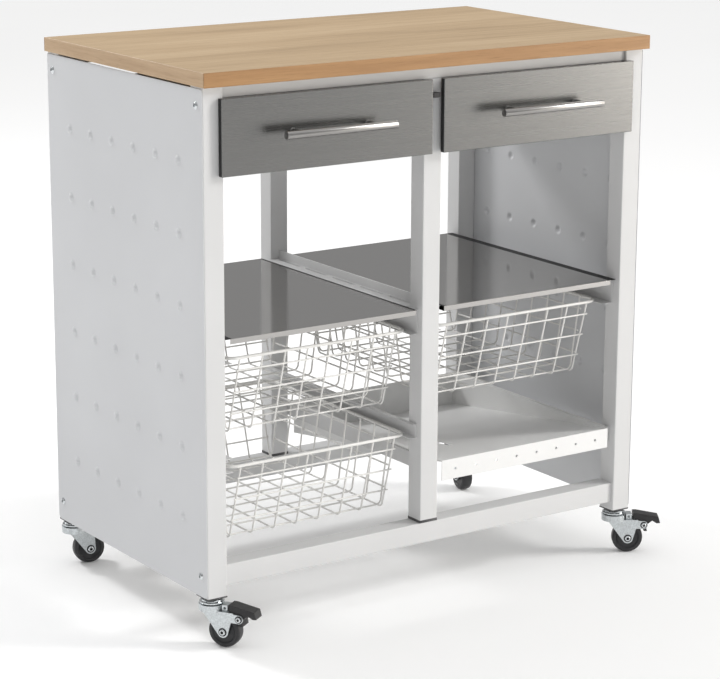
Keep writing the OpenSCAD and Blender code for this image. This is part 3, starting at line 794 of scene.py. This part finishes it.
for side in ("left", "right"):
    makeShelf(side)
soften("bottle_tray", "bottleTray", "trayWhite", 0.0005, 2, 0.006)
print("shelves and tray made")


# ---- wire baskets

basket = {"Wire": 0.0028, "Rim": 0.005, "Pitch": 0.039, "Long Wires": 8, "Cross Wires": 9,
          "Lean Front": 0.034, "Lean Side": 0.0165, "Bend": 0.009, "Rim Bend": 0.018,
          "Ring Wires": 3, "Ring First": 0.020, "Ring Step": 0.035, "Overhang": 0.0035}


def wireTree():
    inputs = {"Width": "Float", "Depth": "Float", "Height": "Float"}
    inputs.update({label: "Int" if label.endswith("Wires") else "Float" for label in basket})
    inputs["Material"] = "Material"
    g = Grower("weldedWire", inputs)
    wire, rim, pitch = g.get("Wire"), g.get("Rim"), g.get("Pitch")
    leanY, leanX = g.get("Lean Front"), g.get("Lean Side")
    deep = g.get("Height") - rim * 0.5 - wire * 0.5
    depth = g.get("Depth") - rim
    halfX = g.get("Width") * 0.5 - rim - wire * 0.35
    lowX = halfX - leanX
    long, cross = g.get("Long Wires"), g.get("Cross Wires")

    def bent(points, radius):  # a wire through four points with rounded bends
        line = g.node("GeometryNodeMeshLine", {"Count": 4}, mode="OFFSET").outputs[0]
        pick = g.node("GeometryNodeIndexSwitch", data_type="VECTOR")
        while len(pick.index_switch_items) < len(points):
            pick.index_switch_items.new()
        g.feed(pick.inputs["Index"], g.node("GeometryNodeInputIndex").outputs[0])
        for k, where in enumerate(points):
            g.feed(pick.inputs[1 + k], g.point(*where))
        moved = g.node("GeometryNodeSetPosition", {"Geometry": line, "Position": pick.outputs[0]}).outputs[0]
        curve = g.node("GeometryNodeMeshToCurve", {0: moved}).outputs[0]
        corner = {"Curve": curve, "Count": 5, "Radius": radius}
        return g.node("GeometryNodeFilletCurve", corner, mode="POLY").outputs[0]

    def straight(a, b):
        return g.node("GeometryNodeCurvePrimitiveLine", {"Start": g.point(*a), "End": g.point(*b)}).outputs[0]

    bend = g.get("Bend")
    longWire = bent([(0.0, 0.0, 0.0), (0.0, leanY, -deep),
                     (0.0, depth - leanY, -deep), (0.0, depth, 0.0)], bend)
    above = -(deep - wire * 0.9)
    crossWire = bent([(-halfX, 0.0, 0.0), (-lowX, 0.0, above), (lowX, 0.0, above), (halfX, 0.0, 0.0)], bend)
    firstX = pitch * (long - 1) * -0.5
    firstY = depth * 0.5 - pitch * (cross - 1) * 0.5
    parts = [g.repeat(g.row(long, g.point(firstX, 0.0, 0.0), g.point(pitch, 0.0, 0.0)), longWire),
             g.repeat(g.row(cross, g.point(0.0, firstY, 0.0), g.point(0.0, pitch, 0.0)), crossWire)]
    endX = pitch * (long - 1) * 0.5 + g.get("Overhang")
    endY = pitch * (cross - 1) * 0.5 + g.get("Overhang")
    rings, first, step = g.get("Ring Wires"), g.get("Ring First"), g.get("Ring Step")
    slopeY, slopeX = leanY / deep, leanX / deep
    for front in (True, False):
        bar = straight((-endX, 0.0, 0.0), (endX, 0.0, 0.0))
        y = first * slopeY - wire * 0.8
        dy = step * slopeY
        start = g.point(0.0, y if front else depth - y, -first)
        parts.append(g.repeat(g.row(rings, start, g.point(0.0, dy if front else -dy, -step)), bar))
    for side in (-1, 1):
        bar = straight((0.0, depth * 0.5 - endY, 0.0), (0.0, depth * 0.5 + endY, 0.0))
        x = (halfX - first * slopeX + wire * 0.8) * side
        down = g.point(step * slopeX * -side, 0.0, -step)
        parts.append(g.repeat(g.row(rings, g.point(x, 0.0, -first), down), bar))
    wires = g.node("GeometryNodeRealizeInstances", {0: g.join(parts)}).outputs[0]
    ring = g.node("GeometryNodeCurvePrimitiveQuadrilateral", {"Width": g.get("Width") - rim, "Height": depth})
    centre = g.point(0.0, depth * 0.5, 0.0)
    centred = g.node("GeometryNodeTransform", {"Geometry": ring.outputs[0], "Translation": centre})
    corner = {"Curve": centred.outputs[0], "Count": 7, "Radius": g.get("Rim Bend")}
    rounded = g.node("GeometryNodeFilletCurve", corner, mode="POLY")
    swept = []
    for curve, thick, sides in ((wires, wire, 8), (rounded.outputs[0], rim, 12)):
        hoop = g.node("GeometryNodeCurvePrimitiveCircle", {"Resolution": sides, "Radius": thick * 0.5})
        sweep = {"Curve": curve, "Profile Curve": hoop.outputs[0], "Fill Caps": True}
        swept.append(g.node("GeometryNodeCurveToMesh", sweep).outputs[0])
    g.finish(g.join(swept))
    return g


def makeBaskets():
    tree = wireTree()
    for node, name in (("upper_left_basket", "upperLeftWires"), ("upper_right_basket", "upperRightWires"),
                       ("lower_left_basket", "lowerLeftWires")):
        low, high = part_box(node)
        wide, deep, tall = high - low
        mesh = grow(tree, dict(basket, Width=wide, Depth=deep, Height=tall, Material=looks["wireWhite"]))
        half = basket["Rim"] / 2
        mesh.transform(Matrix.Translation(((low.x + high.x) / 2, low.y + half, high.z - half)))
        put(name, mesh, node + "_body", [], [node])
        print(name, len(mesh.polygons), "faces")


makeBaskets()


# ---- casters

caster = {"tyreRadius": 0.025, "tyreHalf": 0.0095, "hubHalf": 0.0106, "axleHead": 0.0048,
          "pivotHead": 0.0042, "boltReach": 0.01555, "headHeight": 0.0025, "shaft": 0.0026,
          "raceLow": 0.0645, "raceHigh": 0.0690, "raceRadius": 0.0185}


def wheelLook(corner, place, axis):
    r, half, hub = caster["tyreRadius"], caster["tyreHalf"], caster["hubHalf"]
    bm = bmesh.new()
    sideLine = [(0.0031, hub), (0.0068, hub), (0.0074, hub - 0.0006), (0.0078, half - 0.0022),
                (0.0160, half - 0.0026), (0.0172, half - 0.0022), (0.0180, half - 0.0006),
                (0.0188, half), (0.0202, half), (0.0208, half - 0.0004), (0.0224, half - 0.0004),
                (0.0236, half - 0.0012), (0.0245, half - 0.0026), (0.0249, half - 0.0045)]
    tread = [(r, 0.0028), (r, 0.0012), (r, -0.0012), (r, -0.0028)]
    profile = sideLine + tread + [(a, -b) for a, b in reversed(sideLine)]
    lathe(bm, profile, place, axis, 56, closed=True)
    mesh = turned(bm, "tyre", 50)
    put(corner + "_tyre", mesh, corner + "_roller", ["tyreBlack"], [corner + "_wheel"])


def boltHeads(place, axis, reach, radius):  # a shaft with a domed, socketed head at each end
    bm = bmesh.new()
    axis, h = Vector(axis), caster["headHeight"]
    shaft = reach - h
    for way in (-1, 1):
        out, base = axis * way, Vector(place) + axis * way * shaft
        head = [(radius * 0.5, -0.001), (radius, 0), (radius, h * 0.45), (radius * 0.9, h * 0.85),
                (radius * 0.76, h), (radius * 0.5, h)]
        lathe(bm, head, base, out, 26)
        # painted shade: the socket in each head is lined with the black look, and the thin black ring round
        # the head's foot is a painted shadow where it meets the plate
        lathe(bm, [(radius * 0.5, h), (radius * 0.46, h * 0.3), (0, h * 0.25)], base, out, 26, 1)
        lathe(bm, [(radius * 0.8, 0.0006), (radius * 1.3, 0.0006), (radius * 1.34, 0)], base, out, 26, 1)
    thick = caster["shaft"]
    lathe(bm, [(0, -shaft), (thick, -shaft), (thick, shaft), (0, shaft)], place, axis, 20)
    return turned(bm, "bolt", 38, ["brightZinc", "blackTrimAndPaintedShade"])


def raceRings(bm, base):  # race, cup and stem of one caster's mount
    low, high, outer = caster["raceLow"], caster["raceHigh"], caster["raceRadius"]
    mid, up = (low + high) / 2, (0, 0, 1)
    race = [(0, low), (outer - 0.0022, low), (outer - 0.0006, low + 0.0009), (outer, mid - 0.0005),
            (outer, mid + 0.0008), (outer - 0.0012, high - 0.0012), (outer - 0.0030, high), (0, high)]
    cup = [(0.0165, 0.0688), (0.0168, 0.0700), (0.0155, 0.0712), (0.0135, 0.0730), (0, 0.0730)]
    stem = [(0.0049, 0.0728), (0.0049, 0.0960), (0.0040, 0.0970), (0, 0.0970)]
    lathe(bm, race, base, up, 48)
    lathe(bm, cup, base, up, 48)
    lathe(bm, stem, base, up, 24)


def makeCasters():
    joints = {j["name"]: j for j in frame["joints"]}
    for corner in ("front_left", "front_right", "rear_left", "rear_right"):
        spin = joints[corner + "_wheel_spin"]
        place, axis = Vector(spin["pos_m"]), Vector(spin["axis"])
        wheelLook(corner, place, axis)
        mesh = boltHeads(place, axis, caster["boltReach"], caster["axleHead"])
        put(corner + "_axleBolt", mesh, corner + "_caster", [], [corner + "_axle"])
        soften(corner + "_fork", corner + "_forkPlates", "zinc", 0.00035, 2, 0.0018)
        if corner + "_brake_press" in joints:
            soften(corner + "_brake", corner + "_pedal", "pedalBlack", 0.0009, 3, 0.0028)
            press = joints[corner + "_brake_press"]
            mesh = boltHeads(press["pos_m"], press["axis"], caster["boltReach"], caster["pivotHead"])
            put(corner + "_pivotBolt", mesh, corner + "_caster", [])
    bm = bmesh.new()
    swivels = [Vector(j["pos_m"]) for j in frame["joints"] if j["name"].endswith("_swivel")]
    for place in swivels:
        raceRings(bm, Vector((place.x, place.y, 0)))
    put("casterRaces", turned(bm, "races"), "frame", ["brightZinc"], ["caster_mounts"])


makeCasters()
print("casters made")


# ---- floor

def makeFloor():
    look = Look("paleFloor", Roughness=0.6, **{"Emission Color": (1, 1, 1, 1), "Emission Strength": 0.06})
    drift = look.noise(look.coords, 0.8, 2)
    look.set("Base Color", look.blend(drift, (0.94, 0.94, 0.94), (0.97, 0.97, 0.97)))
    bm = bmesh.new()
    bmesh.ops.create_grid(bm, x_segments=1, y_segments=1, size=40)
    mesh = bpy.data.meshes.new("studioFloor")
    bm.to_mesh(mesh)
    bm.free()
    mesh.materials.append(look.mat)
    floor = bpy.data.objects.new("studioFloor", mesh)
    scene.collection.objects.link(floor)


makeFloor()

print("scene ready")
